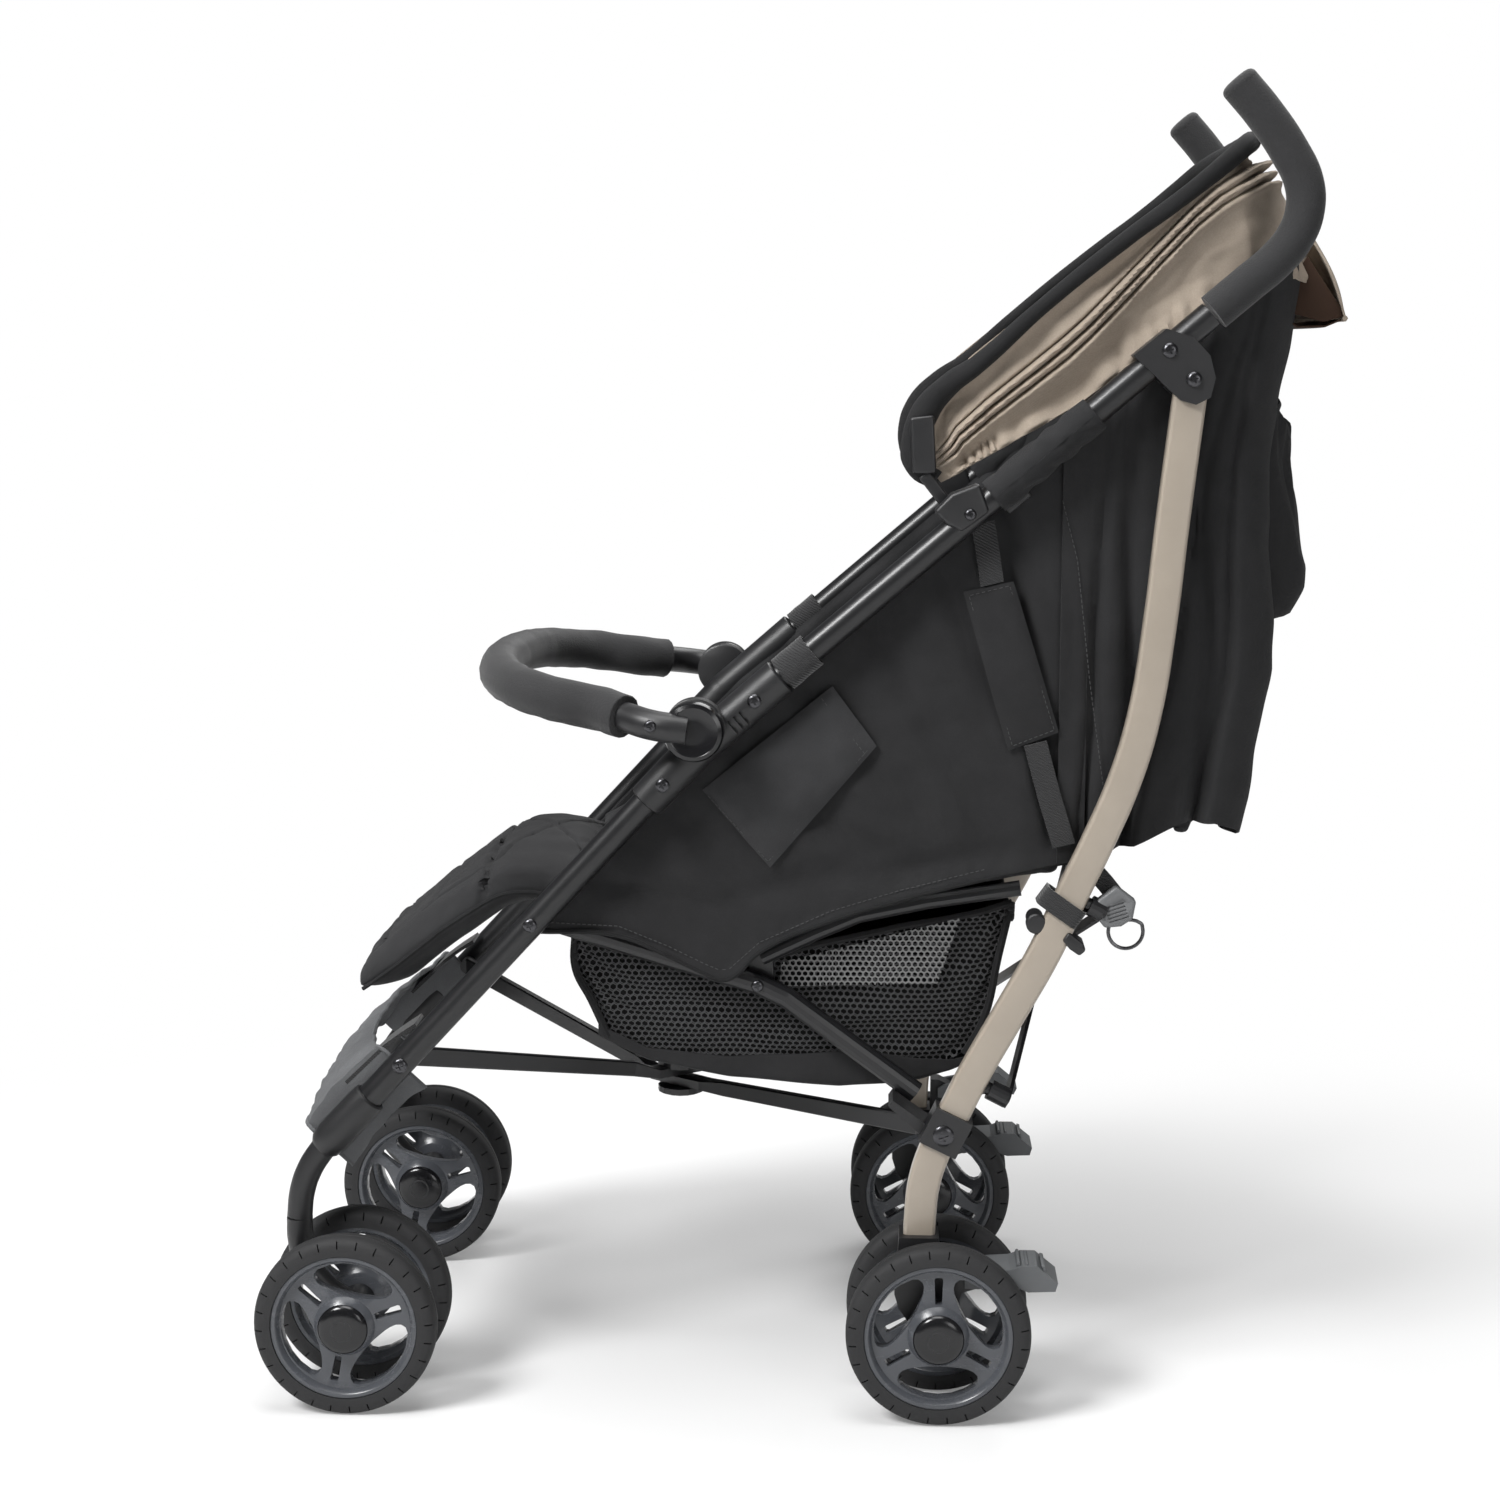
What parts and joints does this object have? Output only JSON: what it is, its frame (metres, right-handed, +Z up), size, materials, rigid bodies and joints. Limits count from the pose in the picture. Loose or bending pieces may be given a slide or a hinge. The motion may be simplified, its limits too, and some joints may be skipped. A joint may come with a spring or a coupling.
{
  "type": "pushchair",
  "caption": "Folding umbrella-style pushchair with twin-wheel corners, foam handles, reclining fabric seat, bumper bar, folded canopy and mesh basket.",
  "frame": {"origin": "on the ground, at the middle of the footprint", "axes": "+Z up, -Y is the way the pushchair faces, +X is the child's left side"},
  "size_m": [0.4766, 0.875, 1.0763],
  "materials": {
    "tan_paint": "satin paint",
    "black_paint": "gloss powder coat",
    "black_plastic": "fine moulded texture",
    "rim_plastic": "semi-gloss moulding",
    "tyre_rubber": "matt foam rubber",
    "grip_foam": "closed-cell foam",
    "pedal_plastic": "matt moulding",
    "black_fabric": "woven polyester",
    "tan_fabric": "woven polyester",
    "grey_fabric": "woven polyester"
  },
  "bodies": {
    "frame": {"front_tube_left": "black_paint", "front_tube_right": "black_paint", "grip_left": "grip_foam", "grip_right": "grip_foam", "top_bracket_left": "black_plastic", "top_bracket_right": "black_plastic", "front_foot_left": "black_plastic", "front_foot_right": "black_plastic", "tube_collar_left": "black_plastic", "tube_collar_right": "black_plastic", "canopy_clamp_left": "black_plastic", "canopy_clamp_right": "black_plastic", "canopy_hood": "tan_fabric", "seat_fabric": "black_fabric", "foot_sling": "grey_fabric", "basket": "black_fabric"},
    "rear_frame": {"rear_leg_left": "tan_paint", "rear_leg_right": "tan_paint", "leg_bracket_left": "black_plastic", "leg_bracket_right": "black_plastic", "rear_housing_left": "black_plastic", "rear_housing_right": "black_plastic", "rear_axle_left": "black_plastic", "rear_axle_right": "black_plastic", "rear_bar_a": "black_paint", "rear_bar_b": "black_paint"},
    "bottom_cross": {"bottom_bar_a": "black_paint", "bottom_bar_b": "black_paint"},
    "bumper": {"bumper_bar": "grip_foam"},
    "canopy_front": {"canopy_bow": "black_fabric"},
    "back_rest": {"back_panel": "black_fabric"},
    "calf_rest": {"leg_rest": "black_fabric"},
    "fold_release": {"fold_pedal": "pedal_plastic"},
    "side_link_left": {"side_link_left": "black_paint"},
    "seat_rail_left": {"seat_rail_left": "black_paint"},
    "caster_left": {"caster_left": "black_plastic", "front_axle_left": "black_plastic"},
    "brake_left": {"brake_pedal_left": "pedal_plastic"},
    "wheel_front_left_outer": {"rim_front_left_outer": "rim_plastic", "tyre_front_left_outer": "tyre_rubber"},
    "wheel_front_left_inner": {"rim_front_left_inner": "rim_plastic", "tyre_front_left_inner": "tyre_rubber"},
    "wheel_rear_left_outer": {"rim_rear_left_outer": "rim_plastic", "tyre_rear_left_outer": "tyre_rubber"},
    "wheel_rear_left_inner": {"rim_rear_left_inner": "rim_plastic", "tyre_rear_left_inner": "tyre_rubber"},
    "side_link_right": {"side_link_right": "black_paint"},
    "seat_rail_right": {"seat_rail_right": "black_paint"},
    "caster_right": {"caster_right": "black_plastic", "front_axle_right": "black_plastic"},
    "brake_right": {"brake_pedal_right": "pedal_plastic"},
    "wheel_front_right_outer": {"rim_front_right_outer": "rim_plastic", "tyre_front_right_outer": "tyre_rubber"},
    "wheel_front_right_inner": {"rim_front_right_inner": "rim_plastic", "tyre_front_right_inner": "tyre_rubber"},
    "wheel_rear_right_outer": {"rim_rear_right_outer": "rim_plastic", "tyre_rear_right_outer": "tyre_rubber"},
    "wheel_rear_right_inner": {"rim_rear_right_inner": "rim_plastic", "tyre_rear_right_inner": "tyre_rubber"}
  },
  "joints": [
    {"name": "rear_leg_fold", "type": "hinge", "parent": "frame", "child": "rear_frame", "pos_m": [0, 0.3095, 0.839], "axis": [-1, 0, 0], "range_deg": [0, 26], "deforming": ["seat_fabric", "back_panel", "basket"]},
    {"name": "bottom_cross_fold", "type": "hinge", "parent": "frame", "child": "bottom_cross", "pos_m": [0, -0.3185, 0.285], "axis": [1, 0, 0], "range_deg": [0, 51]},
    {"name": "bumper_swing", "type": "hinge", "parent": "frame", "child": "bumper", "pos_m": [0, -0.0765, 0.565], "axis": [-1, 0, 0], "range_deg": [0, 70]},
    {"name": "canopy_open", "type": "hinge", "parent": "frame", "child": "canopy_front", "pos_m": [0, 0.1005, 0.785], "axis": [1, 0, 0], "range_deg": [0, 80], "deforming": ["canopy_hood"]},
    {"name": "backrest_raise", "type": "hinge", "parent": "frame", "child": "back_rest", "pos_m": [0, 0.2265, 0.462], "axis": [1, 0, 0], "range_deg": [0, 18]},
    {"name": "calf_rest_raise", "type": "hinge", "parent": "frame", "child": "calf_rest", "pos_m": [0, -0.1869, 0.4488], "axis": [-1, 0, 0], "range_deg": [0, 36]},
    {"name": "fold_release_press", "type": "hinge", "parent": "rear_frame", "child": "fold_release", "pos_m": [-0.1825, 0.1345, 0.165], "axis": [-1, 0, 0], "range_deg": [0, 18]},
    {"name": "side_link_left_fold", "type": "hinge", "parent": "frame", "child": "side_link_left", "pos_m": [0.155, -0.2105, 0.403], "axis": [1, 0, 0], "range_deg": [0, 64]},
    {"name": "seat_rail_left_fold", "type": "hinge", "parent": "side_link_left", "child": "seat_rail_left", "pos_m": [0.155, -0.0255, 0.37], "axis": [1, 0, 0], "range_deg": [-41, 0]},
    {"name": "caster_left_swivel", "type": "hinge", "parent": "frame", "child": "caster_left", "pos_m": [0.1825, -0.4065, 0.15], "axis": [0, 0, 1], "continuous": true},
    {"name": "brake_left_press", "type": "hinge", "parent": "rear_frame", "child": "brake_left", "pos_m": [0.1825, 0.1485, 0.113], "axis": [-1, 0, 0], "range_deg": [0, 12]},
    {"name": "wheel_front_left_outer_spin", "type": "hinge", "parent": "caster_left", "child": "wheel_front_left_outer", "pos_m": [0.2185, -0.3625, 0.075], "axis": [1, 0, 0], "continuous": true},
    {"name": "wheel_front_left_inner_spin", "type": "hinge", "parent": "caster_left", "child": "wheel_front_left_inner", "pos_m": [0.1465, -0.3625, 0.075], "axis": [1, 0, 0], "continuous": true},
    {"name": "wheel_rear_left_outer_spin", "type": "hinge", "parent": "rear_frame", "child": "wheel_rear_left_outer", "pos_m": [0.2185, 0.1205, 0.075], "axis": [1, 0, 0], "continuous": true},
    {"name": "wheel_rear_left_inner_spin", "type": "hinge", "parent": "rear_frame", "child": "wheel_rear_left_inner", "pos_m": [0.1465, 0.1205, 0.075], "axis": [1, 0, 0], "continuous": true},
    {"name": "side_link_right_fold", "type": "hinge", "parent": "frame", "child": "side_link_right", "pos_m": [-0.155, -0.2105, 0.403], "axis": [1, 0, 0], "range_deg": [0, 64]},
    {"name": "seat_rail_right_fold", "type": "hinge", "parent": "side_link_right", "child": "seat_rail_right", "pos_m": [-0.155, -0.0255, 0.37], "axis": [1, 0, 0], "range_deg": [-41, 0]},
    {"name": "caster_right_swivel", "type": "hinge", "parent": "frame", "child": "caster_right", "pos_m": [-0.1825, -0.4065, 0.15], "axis": [0, 0, 1], "continuous": true},
    {"name": "brake_right_press", "type": "hinge", "parent": "rear_frame", "child": "brake_right", "pos_m": [-0.1825, 0.1485, 0.113], "axis": [-1, 0, 0], "range_deg": [0, 12]},
    {"name": "wheel_front_right_outer_spin", "type": "hinge", "parent": "caster_right", "child": "wheel_front_right_outer", "pos_m": [-0.2185, -0.3625, 0.075], "axis": [1, 0, 0], "continuous": true},
    {"name": "wheel_front_right_inner_spin", "type": "hinge", "parent": "caster_right", "child": "wheel_front_right_inner", "pos_m": [-0.1465, -0.3625, 0.075], "axis": [1, 0, 0], "continuous": true},
    {"name": "wheel_rear_right_outer_spin", "type": "hinge", "parent": "rear_frame", "child": "wheel_rear_right_outer", "pos_m": [-0.2185, 0.1205, 0.075], "axis": [1, 0, 0], "continuous": true},
    {"name": "wheel_rear_right_inner_spin", "type": "hinge", "parent": "rear_frame", "child": "wheel_rear_right_inner", "pos_m": [-0.1465, 0.1205, 0.075], "axis": [1, 0, 0], "continuous": true}
  ],
  "couplings": [
    {"joint": "bottom_cross_fold", "follows": "rear_leg_fold", "ratio": 1.93},
    {"joint": "side_link_left_fold", "follows": "rear_leg_fold", "ratio": 2.43},
    {"joint": "seat_rail_left_fold", "follows": "rear_leg_fold", "ratio": -1.536},
    {"joint": "side_link_right_fold", "follows": "rear_leg_fold", "ratio": 2.43},
    {"joint": "seat_rail_right_fold", "follows": "rear_leg_fold", "ratio": -1.536}
  ]
}
